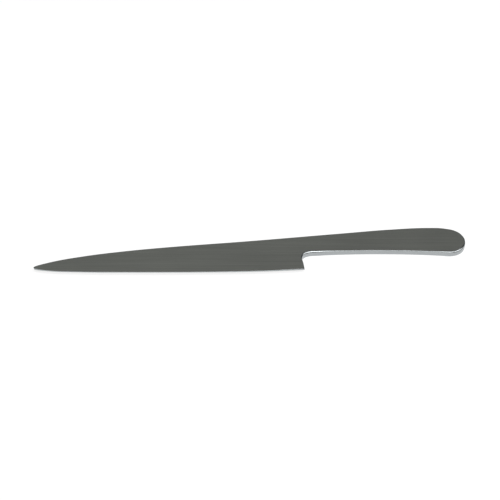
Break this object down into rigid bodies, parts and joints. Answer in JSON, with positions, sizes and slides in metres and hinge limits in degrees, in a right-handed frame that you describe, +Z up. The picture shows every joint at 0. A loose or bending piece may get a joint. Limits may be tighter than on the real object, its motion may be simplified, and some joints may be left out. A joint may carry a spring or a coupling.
{
  "type": "paper knife",
  "caption": "Flat one-piece steel paper knife with a slim pointed blade, a stepped finger notch and a rounded handle, for opening envelopes and slitting folds.",
  "frame": {"origin": "middle of the rectangle that the knife covers, on the surface it rests on", "axes": "+X from the point to the butt, +Z up through the thickness, +Y towards the spine, so the cutting edge faces -Y"},
  "size_m": [0.225, 0.0328, 0.003],
  "materials": {
    "satin_steel": "fine satin on the flat faces, polished along the edges"
  },
  "bodies": {
    "root": {"paper_knife": "satin_steel"}
  },
  "joints": []
}
